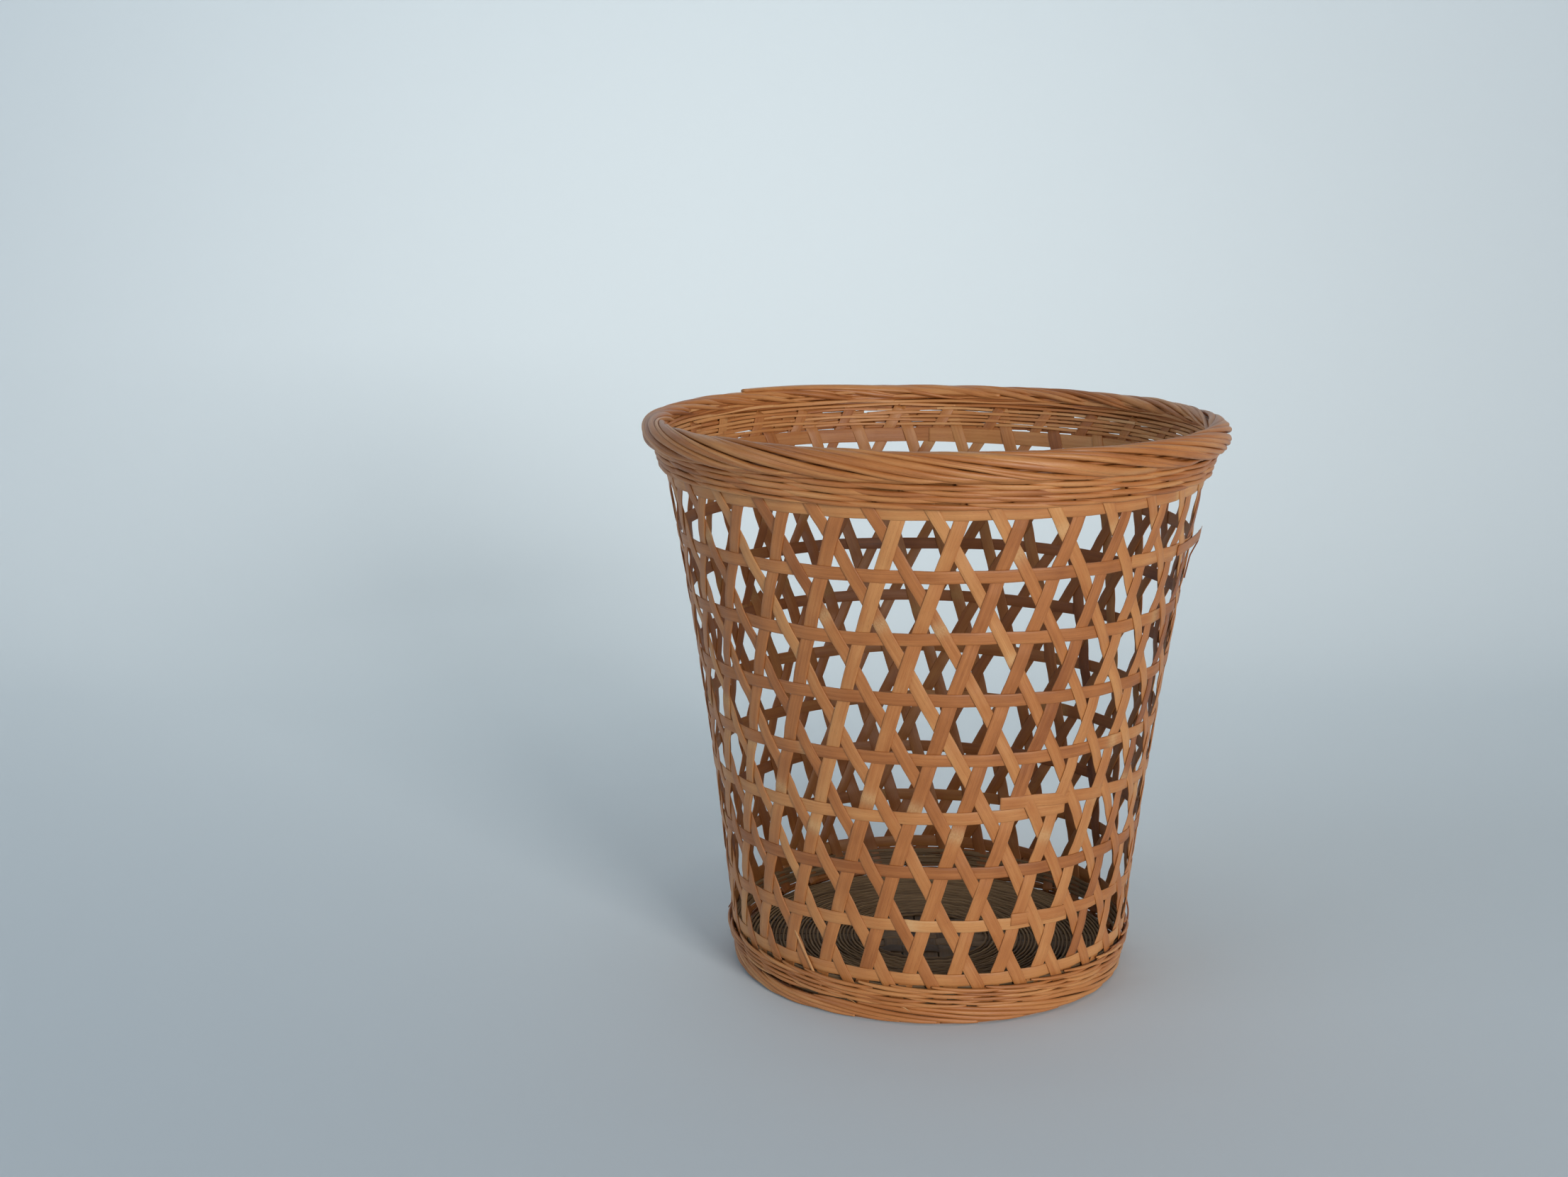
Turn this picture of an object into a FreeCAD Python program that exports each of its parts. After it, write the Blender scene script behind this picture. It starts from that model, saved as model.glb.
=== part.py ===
import FreeCAD, Part

import math
import os

import Sketcher

# An open-weave wastebasket of split bamboo. Nine hoops stand one above another,
# and thirty strips lean each way between them, so that the wall is a net of
# six-sided holes. Close rows of thin splits bind the top and the bottom of the
# wall, slanting strands wrap the rim and the foot, and the floor of the basket
# is a disc of crossed flat strips held by rings.
#
# The frame is +Z up, millimetres, with the origin on the floor under the middle
# of the basket. Angles round the basket are counted from the front, -Y, towards
# +X, so that they grow counter-clockwise seen from above.

DRIVING = (
    # name, value, what it is
    ("overall_height", 275.0, "floor to the top of the rim"),
    ("wall_base_radius", 97.0, "radius of the wall carried down to the floor"),
    ("wall_slope", 0.0844, "how fast the wall opens, at the floor"),
    ("wall_flare", 0.000193, "how much faster it opens, for each mm of height"),
    ("lip_start", 250.0, "height where the wall starts to turn out to the rim"),
    ("lip_curve", 0.018, "how sharply it turns out above that"),
    ("heel_start", 22.0, "height below which the wall turns in to the foot"),
    ("heel_curve", 0.012, "how sharply it turns in below that"),
    ("strip_thickness", 0.9, "every flat split"),
    ("layer_gap", 0.12, "air between splits that cross"),
    ("hoop_width", 6.0, "the eight narrow hoops"),
    ("wide_hoop_width", 7.4, "the top hoop"),
    ("lowest_hoop_height", 23.6, "middle of the lowest hoop"),
    ("lowest_hoop_gap", 26.6, "lowest hoop to the next"),
    ("hoop_gap_growth", 0.43, "how much each gap is over the one below"),
    ("strips_each_way", 30, "strips that lean one way"),
    ("right_strip_width", 6.4, "strips that lean to the right"),
    ("left_strip_width", 5.5, "strips that lean to the left"),
    ("right_lean", 4.35, "degrees that a right strip moves from hoop to hoop"),
    ("first_strip_angle", 2.9, "where the first right strip passes the lowest hoop"),
    ("strip_bottom_row", -0.62, "where the strips end, in hoop gaps from the lowest hoop"),
    ("strip_top_row", 8.5, "where they end at the top"),
    ("upper_row_tube", 1.45, "radius of a row of thin splits that binds the top"),
    ("upper_row_pitch", 3.2, "one upper row to the next"),
    ("upper_row_height", 251.3, "middle of the lowest upper row"),
    ("lower_row_tube", 1.2, "radius of a row that binds the bottom"),
    ("lower_row_pitch", 2.5, "one lower row to the next"),
    ("lower_row_height", 11.4, "middle of the lowest lower row"),
    ("rim_ring_radius", 135.6, "middle of the rim"),
    ("rim_core_tube", 3.8, "radius of the core of the rim"),
    ("rim_strand_orbit", 5.15, "core's middle to a bundle's middle"),
    ("rim_strand_width", 4.2, "a bundle, across its strands"),
    ("rim_strand_thickness", 2.1, "a bundle, through its strands"),
    ("rim_strand_reach", 62.0, "degrees round the rim that a bundle takes to cross it"),
    ("foot_inner_radius", 90.8, "foot ring"),
    ("foot_outer_radius", 95.6, "foot ring"),
    ("foot_height", 5.5, "foot ring"),
    ("foot_rounding", 1.5, "upper edges of the foot ring"),
    ("foot_strand_radius", 96.9, "middle of the strands round the foot"),
    ("foot_strand_top", 8.3, "where a foot strand starts"),
    ("foot_strand_bottom", 1.2, "where it ends"),
    ("foot_strand_width", 1.5, "a foot strand, up and down"),
    ("foot_strand_thickness", 1.8, "a foot strand, in and out"),
    ("foot_strand_reach", 48.0, "degrees round the foot that a strand takes"),
    ("base_radius", 92.0, "the ends of the base strips"),
    ("base_strip_width", 8.4, "base strips"),
    ("base_strip_pitch", 9.0, "one base strip to the next"),
    ("base_bottom", 5.6, "underside of the base strips"),
    ("base_ring_tube", 0.95, "radius of a base ring"),
    ("base_ring_inner", 30.0, "innermost base ring"),
    ("base_ring_pitch", 4.0, "one base ring to the next, above the strips"),
)

HOOPS = 9
UPPER_ROWS = 4
LOWER_ROWS = 4
STRIPS_IN_A_GROUP = 3
RIM_BUNDLES = 30
FOOT_STRANDS = 30
STRANDS_IN_A_GROUP = 6
BASE_STRIPS = 5
BASE_RINGS_ABOVE = 15
BASE_RINGS_BELOW = 14

doc = FreeCAD.newDocument("wastebasket")
sheet = doc.addObject("Spreadsheet::Sheet", "Dimensions")
nodes = []


def fill_sheet():
    for number, (name, value, meaning) in enumerate(DRIVING, start=1):
        sheet.set(f"A{number}", name)
        sheet.set(f"B{number}", str(value))
        sheet.set(f"C{number}", meaning)
        sheet.setAlias(f"B{number}", name)
    doc.recompute()


def size(name):
    """The value of a driving dimension."""
    return float(sheet.get(name))


def cell(name):
    """The same dimension, as an expression writes it."""
    return f"Dimensions.{name}"


def add_node(feature, name):
    """Names a finished sub-part and puts it on the list of those that are written."""
    feature.Label = name
    nodes.append(feature)
    return feature


# ---------------------------------------------------------------- wall and rows


def wall_radius(height):
    """Middle of the wall's thickness at a height."""
    lip = max(0.0, height - size("lip_start"))
    heel = max(0.0, size("heel_start") - height)
    radius = size("wall_base_radius") + size("wall_slope") * height
    radius += size("wall_flare") * height**2 + size("lip_curve") * lip**2
    return radius - size("heel_curve") * heel**2


def wall_expression(height):
    """The wall's radius between heel and lip, for a height that is an expression."""
    straight = f"{cell('wall_base_radius')} + {cell('wall_slope')} * ({height})"
    return f"({straight} + {cell('wall_flare')} * ({height})^2)"


def hoop_height_expression(step):
    """Height of a hoop's middle. Step 0 is the lowest hoop."""
    growth = f"{step * (step - 1) / 2} * {cell('hoop_gap_growth')}"
    return f"({cell('lowest_hoop_height')} + {step} * {cell('lowest_hoop_gap')} + {growth})"


def row_height(row):
    """Height at a row count, where whole rows are hoops and the lowest hoop is row 0."""
    growth = size("hoop_gap_growth")
    return size("lowest_hoop_height") + (size("lowest_hoop_gap") - growth / 2) * row + growth / 2 * row**2


def conical_hoop(name, step, width):
    """A flat split bent into a hoop that lies on the slope of the wall."""
    middle = hoop_height_expression(step)
    low = f"({middle} - {cell(width)} / 2)"
    high = f"({middle} + {cell(width)} / 2)"
    cones = []
    for side, sign in (("outside", "+"), ("inside", "-")):
        cone = doc.addObject("Part::Cone", f"{name}_{side}")
        half = f"{sign} {cell('strip_thickness')} / 2"
        cone.setExpression("Radius1", f"{wall_expression(low)} {half}")
        cone.setExpression("Radius2", f"{wall_expression(high)} {half}")
        cone.setExpression("Height", cell(width))
        cones.append(cone)
    hoop = doc.addObject("Part::Cut", name)
    hoop.Base, hoop.Tool = cones
    hoop.setExpression("Placement.Base.z", low)
    add_node(hoop, name)


def make_hoops():
    conical_hoop("wide_hoop", HOOPS - 1, "wide_hoop_width")
    for number in range(2, HOOPS + 1):
        conical_hoop(f"hoop_{number}", HOOPS - number, "hoop_width")


def ring(name, radius, tube, height):
    """A round ring. Its radius, tube radius and height are expressions."""
    torus = doc.addObject("Part::Torus", name)
    torus.setExpression("Radius1", radius)
    torus.setExpression("Radius2", tube)
    torus.setExpression("Placement.Base.z", height)
    return torus


def bound_row_radius(zone, height, side):
    """A row lies against the strips, outside (side 1) or inside (side -1) the wall.
    The upper rows also clear the strips where they cross the wide hoop, half a split more."""
    thickness, gap = cell("strip_thickness"), cell("layer_gap")
    if zone == "upper":
        bend = f"+ {cell('lip_curve')} * (({height}) - {cell('lip_start')})^2"
        splits = f"1.5 * {thickness} + 2 * {gap}"
    else:
        bend = f"- {cell('heel_curve')} * ({cell('heel_start')} - ({height}))^2"
        splits = f"{thickness} + {gap}"
    sign = "+" if side > 0 else "-"
    return f"{wall_expression(height)} {bend} {sign} ({splits} + {cell(f'{zone}_row_tube')})"


def make_rows(zone, count):
    """Rows outside the strips, one node each, and the rows between them inside."""
    first, pitch, tube = (cell(f"{zone}_row_{what}") for what in ("height", "pitch", "tube"))
    for number in range(1, count + 1):
        height = f"{first} + {number - 1} * {pitch}"
        name = f"{zone}_row_{number}"
        add_node(ring(name, bound_row_radius(zone, height, 1), tube, height), name)
    inner = []
    for number in range(1, count):
        height = f"{first} + {number - 0.5} * {pitch}"
        name = f"{zone}_inner_row_{number}"
        inner.append(ring(name, bound_row_radius(zone, height, -1), tube, height))
    group_of(f"{zone}_inner_rows", inner)


def group_of(name, members):
    """Separate solids of one kind that share a node."""
    group = doc.addObject("Part::Compound", name)
    group.Links = members
    add_node(group, name)


# ------------------------------------------------------------------ woven strips

HOOP_CROSSING = 0.12  # half the stretch of a strip that lies on a hoop, in rows
STRIP_CROSSING = 0.25  # half the stretch where the two leans cross, in rows


def place(angle, radius, height):
    """The point at an angle from the front, in degrees."""
    turn = math.radians(angle)
    return FreeCAD.Vector(radius * math.sin(turn), -radius * math.cos(turn), height)


def outward(angle, height):
    """The wall's outward normal."""
    step = 0.5
    rise = (wall_radius(height + step) - wall_radius(height - step)) / (2 * step)
    turn = math.radians(angle)
    return FreeCAD.Vector(math.sin(turn), -math.cos(turn), -rise).normalize()


def strip_stations(at_hoop, at_crossing):
    """(row, offset from the wall) along a strip: flat on each hoop and at each crossing."""
    bottom, top = size("strip_bottom_row"), size("strip_top_row")
    found = [(bottom, at_crossing)]
    for half_row in range(-1, 2 * HOOPS):
        middle = half_row / 2
        on_hoop = half_row % 2 == 0
        reach = HOOP_CROSSING if on_hoop else STRIP_CROSSING
        offset = at_hoop if on_hoop else at_crossing
        for row in (middle - reach, middle + reach):
            if bottom + 0.02 < row < top - 0.02:
                found.append((row, offset))
    return found + [(top, at_crossing)]


def woven_strip(angle_at_row, width, at_hoop, at_crossing):
    """A flat split that climbs the wall, as a loft through a rectangle at each station."""
    thickness = size("strip_thickness")
    sections = []
    for row, offset in strip_stations(at_hoop, at_crossing):
        height = row_height(row)
        angle = angle_at_row(row)
        normal = outward(angle, height)
        middle = place(angle, wall_radius(height), height)
        step = 0.01
        above = row_height(row + step)
        ahead = place(angle_at_row(row + step), wall_radius(above), above) - middle
        across = normal.cross(ahead.normalize())
        middle += normal * offset
        corners = []
        for side, face in ((1, 1), (-1, 1), (-1, -1), (1, -1)):
            corners.append(middle + across * (side * width / 2) + normal * (face * thickness / 2))
        sections.append(Part.makePolygon(corners + corners[:1]))
    return Part.makeLoft(sections, True, True)


def shape_node(name, solids):
    """A sub-part of separate solids that no primitive gives."""
    feature = doc.addObject("Part::Feature", name)
    feature.Shape = Part.makeCompound(solids)
    feature.Placement = FreeCAD.Placement()
    add_node(feature, name)


def make_strips():
    """Left strips lie over the hoops, hoops over right strips, and right strips over left."""
    pitch = 360.0 / size("strips_each_way")
    lean = size("right_lean")
    first = size("first_strip_angle")
    layer = size("strip_thickness") + size("layer_gap")
    kinds = (
        ("right", lean, 0.0, -layer, layer / 2),
        ("left", lean - pitch, pitch / 2, layer, -layer / 2),
    )
    for kind, turn, shift, at_hoop, at_crossing in kinds:
        width = size(f"{kind}_strip_width")
        for group in range(int(size("strips_each_way")) // STRIPS_IN_A_GROUP):
            solids = []
            for member in range(STRIPS_IN_A_GROUP):
                start = first + shift + (group * STRIPS_IN_A_GROUP + member) * pitch

                def angle_at_row(row, start=start, turn=turn):
                    return start + turn * row

                solids.append(woven_strip(angle_at_row, width, at_hoop, at_crossing))
            shape_node(f"{kind}_leaning_strips_{group + 1}", solids)


# ------------------------------------------------------------------ rim and foot

STATION_STEPS = 14


def slanting_strand(first_angle, reach, section_at):
    """A strand round the basket. section_at(share) gives its middle and its two half axes
    in the upright plane through the axis, as (radius, height) pairs."""
    sections = []
    for step in range(STATION_STEPS + 1):
        share = step / STATION_STEPS
        middle, wide, thick = section_at(share)
        points = []
        for corner in range(6):
            turn = math.radians(60 * corner)
            radius = middle[0] + wide[0] * math.cos(turn) + thick[0] * math.sin(turn)
            height = middle[1] + wide[1] * math.cos(turn) + thick[1] * math.sin(turn)
            points.append(place(first_angle + reach * share, radius, height))
        sections.append(Part.makePolygon(points + points[:1]))
    return Part.makeLoft(sections, True, True)


def rim_section(share):
    """A rim bundle goes from the inner underside over the top to the outer underside."""
    turn = math.radians(225 - 270 * share)
    orbit = size("rim_strand_orbit")
    ring_height = size("overall_height") - orbit - size("rim_strand_thickness") / 2
    along = (-math.sin(turn), math.cos(turn))
    out = (math.cos(turn), math.sin(turn))
    middle = (
        size("rim_ring_radius") + orbit * out[0],
        ring_height + orbit * out[1],
    )
    half_width = size("rim_strand_width") / 2
    half_thickness = size("rim_strand_thickness") / 2
    wide = (along[0] * half_width, along[1] * half_width)
    thick = (out[0] * half_thickness, out[1] * half_thickness)
    return middle, wide, thick


def foot_section(share):
    """A foot strand slants down the outside of the foot."""
    top, bottom = size("foot_strand_top"), size("foot_strand_bottom")
    middle = (size("foot_strand_radius"), top + (bottom - top) * share)
    return middle, (0.0, size("foot_strand_width") / 2), (size("foot_strand_thickness") / 2, 0.0)


def make_strands(name, count, reach, section_at):
    for group in range(count // STRANDS_IN_A_GROUP):
        solids = []
        for member in range(STRANDS_IN_A_GROUP):
            angle = (group * STRANDS_IN_A_GROUP + member) * 360.0 / count
            solids.append(slanting_strand(angle, reach, section_at))
        shape_node(f"{name}_{group + 1}", solids)


def make_rim():
    above = f"{cell('rim_strand_orbit')} + {cell('rim_strand_thickness')} / 2"
    height = f"{cell('overall_height')} - ({above})"
    core = ring("rim_core", cell("rim_ring_radius"), cell("rim_core_tube"), height)
    add_node(core, "rim_core")
    make_strands("rim_bundles", RIM_BUNDLES, size("rim_strand_reach"), rim_section)


def make_foot_ring():
    """The ring that the basket stands on: a rectangle turned round the axis, upper edges rounded."""
    body = doc.addObject("PartDesign::Body", "foot_ring")
    plane = next(f for f in body.Origin.OriginFeatures if f.Role == "XZ_Plane")
    sketch = body.newObject("Sketcher::SketchObject", "foot_section")
    sketch.AttachmentSupport = [(plane, "")]
    sketch.MapMode = "FlatFace"
    inner, outer = size("foot_inner_radius"), size("foot_outer_radius")
    top = size("foot_height")
    corners = [(inner, 0.0), (outer, 0.0), (outer, top), (inner, top)]
    points = [FreeCAD.Vector(x, y, 0) for x, y in corners]
    for number, point in enumerate(points):
        sketch.addGeometry(Part.LineSegment(point, points[(number + 1) % 4]), False)
    for number in range(4):
        sketch.addConstraint(Sketcher.Constraint("Coincident", number, 2, (number + 1) % 4, 1))
    for number, kind in enumerate(("Horizontal", "Vertical", "Horizontal", "Vertical")):
        sketch.addConstraint(Sketcher.Constraint(kind, number))
    sketch.addConstraint(Sketcher.Constraint("PointOnObject", 0, 1, -1))
    bound = (("foot_inner_radius", 0, 1), ("foot_outer_radius", 0, 2))
    for name, line, end in bound:
        number = sketch.addConstraint(Sketcher.Constraint("DistanceX", -1, 1, line, end, size(name)))
        sketch.setExpression(f"Constraints[{number}]", cell(name))
    number = sketch.addConstraint(Sketcher.Constraint("DistanceY", 1, 1, 1, 2, top))
    sketch.setExpression(f"Constraints[{number}]", cell("foot_height"))
    turned = body.newObject("PartDesign::Revolution", "foot_turned")
    turned.Profile = sketch
    turned.ReferenceAxis = (sketch, ["V_Axis"])
    turned.Angle = 360.0
    doc.recompute()
    top_edges = []
    for number, edge in enumerate(turned.Shape.Edges, start=1):
        box = edge.BoundBox
        if box.ZMin > top - 0.01 and box.XLength > inner:
            top_edges.append(f"Edge{number}")
    rounded = body.newObject("PartDesign::Fillet", "foot_rounded")
    rounded.Base = (turned, top_edges)
    rounded.setExpression("Radius", cell("foot_rounding"))
    body.Tip = rounded
    add_node(body, "foot_ring")


def make_foot():
    make_foot_ring()
    make_strands("foot_strands", FOOT_STRANDS, size("foot_strand_reach"), foot_section)


# -------------------------------------------------------------------------- base


def base_layer(name, along_x, bottom):
    """Parallel flat strips across the base, each as long as the round base is there."""
    members = []
    thickness, width = cell("strip_thickness"), cell("base_strip_width")
    for number in range(BASE_STRIPS):
        step = number - (BASE_STRIPS - 1) / 2
        offset = f"({step} * {cell('base_strip_pitch')})"
        edge = f"({abs(step)} * {cell('base_strip_pitch')} + {width} / 2)"
        half = f"sqrt({cell('base_radius')}^2 - {edge}^2)"
        strip = doc.addObject("Part::Box", f"{name}_{number + 1}")
        long_side, short_side = ("Length", "Width") if along_x else ("Width", "Length")
        long_axis, short_axis = ("x", "y") if along_x else ("y", "x")
        strip.setExpression(long_side, f"2 * {half}")
        strip.setExpression(short_side, width)
        strip.setExpression("Height", thickness)
        strip.setExpression(f"Placement.Base.{long_axis}", f"-{half}")
        strip.setExpression(f"Placement.Base.{short_axis}", f"{offset} - {width} / 2")
        strip.setExpression("Placement.Base.z", bottom)
        members.append(strip)
    group_of(name, members)


def base_rings(name, count, first, height):
    members = []
    for number in range(count):
        radius = f"{first} + {number} * {cell('base_ring_pitch')}"
        members.append(ring(f"{name}_{number + 1}", radius, cell("base_ring_tube"), height))
    group_of(name, members)


def make_base():
    """Two crossed layers of strips, with rings over them and under them."""
    layer = f"({cell('strip_thickness')} + {cell('layer_gap')})"
    bottom = cell("base_bottom")
    base_layer("base_strips_across", True, bottom)
    base_layer("base_strips_along", False, f"{bottom} + {layer}")
    over = f"{bottom} + 2 * {layer} + {cell('base_ring_tube')}"
    under = f"{bottom} - {cell('layer_gap')} - {cell('base_ring_tube')}"
    base_rings("base_rings_above", BASE_RINGS_ABOVE, cell("base_ring_inner"), over)
    first_under = f"{cell('base_ring_inner')} + {cell('base_ring_pitch')} / 2"
    base_rings("base_rings_below", BASE_RINGS_BELOW, first_under, under)


# ------------------------------------------------------------------------- write


def check_all():
    """Stops on any object that FreeCAD couldn't build and on any shape that isn't sound."""
    doc.recompute()
    for item in doc.Objects:
        if {"Invalid", "Error"} & set(item.State):
            raise RuntimeError(f"{item.Name} is in state {item.State}")
    for node in nodes:
        if node.Shape.isNull() or not node.Shape.isValid() or not node.Shape.Solids:
            raise RuntimeError(f"{node.Label} has no sound shape")
        if any(solid.Volume <= 0 for solid in node.Shape.Solids):
            raise RuntimeError(f"{node.Label} has a solid with no volume")


def write_nodes():
    os.makedirs("parts", exist_ok=True)
    for node in nodes:
        node.Shape.exportStep(f"parts/{node.Label}.step")
    print(len(nodes), "nodes,", sum(len(node.Shape.Solids) for node in nodes), "solids")


fill_sheet()
make_hoops()
make_strips()
make_rows("upper", UPPER_ROWS)
make_rows("lower", LOWER_ROWS)
make_rim()
make_foot()
make_base()
check_all()
write_nodes()
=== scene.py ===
import math

import bpy
import numpy as np
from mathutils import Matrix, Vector


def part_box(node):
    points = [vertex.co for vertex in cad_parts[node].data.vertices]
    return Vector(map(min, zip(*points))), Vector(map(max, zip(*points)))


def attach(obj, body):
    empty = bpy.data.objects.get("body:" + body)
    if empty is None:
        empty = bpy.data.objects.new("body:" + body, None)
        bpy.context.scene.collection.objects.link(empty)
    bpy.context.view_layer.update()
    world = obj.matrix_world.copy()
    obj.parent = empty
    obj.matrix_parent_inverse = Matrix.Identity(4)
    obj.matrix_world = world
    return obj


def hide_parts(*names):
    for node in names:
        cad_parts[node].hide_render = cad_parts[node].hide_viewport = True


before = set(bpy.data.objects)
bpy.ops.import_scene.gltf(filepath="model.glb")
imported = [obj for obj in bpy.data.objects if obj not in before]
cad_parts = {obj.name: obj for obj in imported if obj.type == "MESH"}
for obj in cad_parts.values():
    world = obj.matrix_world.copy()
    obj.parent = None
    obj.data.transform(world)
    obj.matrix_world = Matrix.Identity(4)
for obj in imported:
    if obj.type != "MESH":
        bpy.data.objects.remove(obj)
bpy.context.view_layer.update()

# A woven bamboo wastebasket. Every piece is a group of splits, each swept along its own path up
# or round the wall, round a border or across the base. Lengths are in millimetres and angles in
# degrees until add_piece turns a mesh into metres, and the stage is in metres throughout. Angles
# round the basket are counted from the front, -Y, towards +X. Tones run from 0, dark, to 1, pale.
MM = 0.001


def draws(name):
    """Random numbers of a sub-part's own, the same in each run."""
    return np.random.default_rng(sum(ord(letter) * (place + 1) for place, letter in enumerate(name)))


def node_box(name):
    """The low and high corners of a CAD node's box."""
    low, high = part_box(name)
    return np.array(low) / MM, np.array(high) / MM


# ------------------------------------------------------------------ the wall, from the frame

SPLIT = 0.9  # thickness of the flat splits in the frame
HOOP_NAMES = [f"hoop_{number}" for number in range(9, 1, -1)] + ["wide_hoop"]
HOOP_BOXES = [node_box(name) for name in HOOP_NAMES]
HOOP_HEIGHTS = [(low[2] + high[2]) / 2 for low, high in HOOP_BOXES]
HOOP_WIDTHS = [high[2] - low[2] for low, high in HOOP_BOXES]
ROW_FIT = np.polyfit(range(len(HOOP_HEIGHTS)), HOOP_HEIGHTS, 2)
HOOP_TOPS = [high[2] for _, high in HOOP_BOXES]
HOOP_RADII = [high[0] - SPLIT / 2 for _, high in HOOP_BOXES]
WALL_FIT = np.polyfit(HOOP_TOPS, HOOP_RADII, 2)
LIP_START, LIP_CURVE = 250.0, 0.007  # above this height the wall flares more and more
HEEL_START, HEEL_CURVE = 22.0, 0.012  # and below this one it draws in


def row_height(row):
    """Height at a row count, where whole rows are hoops and the lowest hoop is row 0."""
    return np.polyval(ROW_FIT, row)


def wall_radius(height):
    """Radius of the wall's middle surface."""
    lip = np.maximum(0.0, height - LIP_START)
    heel = np.maximum(0.0, HEEL_START - height)
    return np.polyval(WALL_FIT, height) + LIP_CURVE * lip**2 - HEEL_CURVE * heel**2


def around(angle, radius, height):
    """Points at angles from the front."""
    turn = np.radians(angle)
    parts = np.broadcast_arrays(radius * np.sin(turn), -radius * np.cos(turn), height)
    return np.stack(parts, axis=-1).astype(float)


def on_wall(angle, height, offset):
    """Points beside the wall's middle surface, and the wall's outward normals there."""
    slope = wall_radius(height + 0.5) - wall_radius(height - 0.5)
    normals = around(angle, np.ones_like(height), -slope)
    normals /= np.linalg.norm(normals, axis=1)[:, None]
    return around(angle, wall_radius(height), height) + normals * np.reshape(offset, (-1, 1)), normals


def smooth(share):
    """0 below 0, 1 above 1, and an even curve between."""
    share = np.clip(share, 0.0, 1.0)
    return share * share * (3 - 2 * share)


def hump(distance, reach):
    """1 at distance 0, falling to 0 a few reaches away."""
    return np.exp(-((distance / reach) ** 2))


def waver(draw, distance, spacing):
    """A smooth random curve, mostly between -1 and 1, whose waves are about spacing long."""
    total = np.zeros(len(distance))
    for _ in range(4):
        wave = spacing * draw.uniform(0.6, 1.7)
        total += draw.normal(0, 0.45) * np.sin(2 * math.pi * distance / wave + draw.uniform(0, 2 * math.pi))
    return total


# ------------------------------------------------------------------ sweeping splits into meshes

# Sections across a split: x is across it and y is outwards, both from -1 to 1.
FLAT = np.array([
    (-0.92, -1.0), (0.0, -0.94), (0.92, -1.0), (1.0, -0.6), (1.0, 0.35), (0.93, 0.78),
    (0.55, 0.97), (0.0, 1.0), (-0.55, 0.97), (-0.93, 0.78), (-1.0, 0.35), (-1.0, -0.6),
])
OVAL = np.array([
    (math.cos(math.radians(turn)), math.sin(math.radians(turn))) for turn in range(0, 360, 30)
])

# A joint of the cane, by its distance along the split: it widens the split, makes a ridge and a
# lower second ridge, leaves the skin rough and changes the tone from there on.
KNOT_WIDENS, KNOT_WIDE_REACH = 0.05, 2.5
RIDGE, RIDGE_REACH = 0.28, 1.3
SECOND_RIDGE, SECOND_RIDGE_REACH, SECOND_RIDGE_AT = 0.12, 1.6, 2.2
ROUGH_REACH, ROUGH_AT = 3.4, 1.0
KNOT_TONE_STEP, KNOT_TONE_REACH = 0.16, 3
THIN_END = 0.35  # what is left of a split's thickness at a thinned end
WIDTH_SPARED = 0.4  # share of that thinning that its width is spared

SEED_SHIFT = 1000  # the most that two splits lie apart in the grain
DULL_AND_SHADED_UP_TO, PAINTED_LIGHT_FROM = 215.0, 245.0  # the inner faces keep their dull colour and painted shade low down, and get painted light between these heights, where light falls in over the rim
PAINTED_LIGHT_INSIDE = 0.75  # how far that painted light makes the inner faces under the rim look like the outer ones


def along(points):
    """Distance from the first point to each, along the line."""
    steps = np.linalg.norm(np.diff(points, axis=0), axis=1)
    return np.concatenate([[0.0], np.cumsum(steps)])


def section_axes(path, normals, roll):
    """Unit vectors across a split and out of it at each point of its path."""
    tangents = np.gradient(path, axis=0)
    tangents /= np.linalg.norm(tangents, axis=1)[:, None]
    across = np.cross(normals, tangents)
    across /= np.linalg.norm(across, axis=1)[:, None]
    out = np.cross(tangents, across)
    turn = np.radians(np.broadcast_to(roll, len(path)))[:, None]
    return across * np.cos(turn) + out * np.sin(turn), out * np.cos(turn) - across * np.sin(turn)


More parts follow.
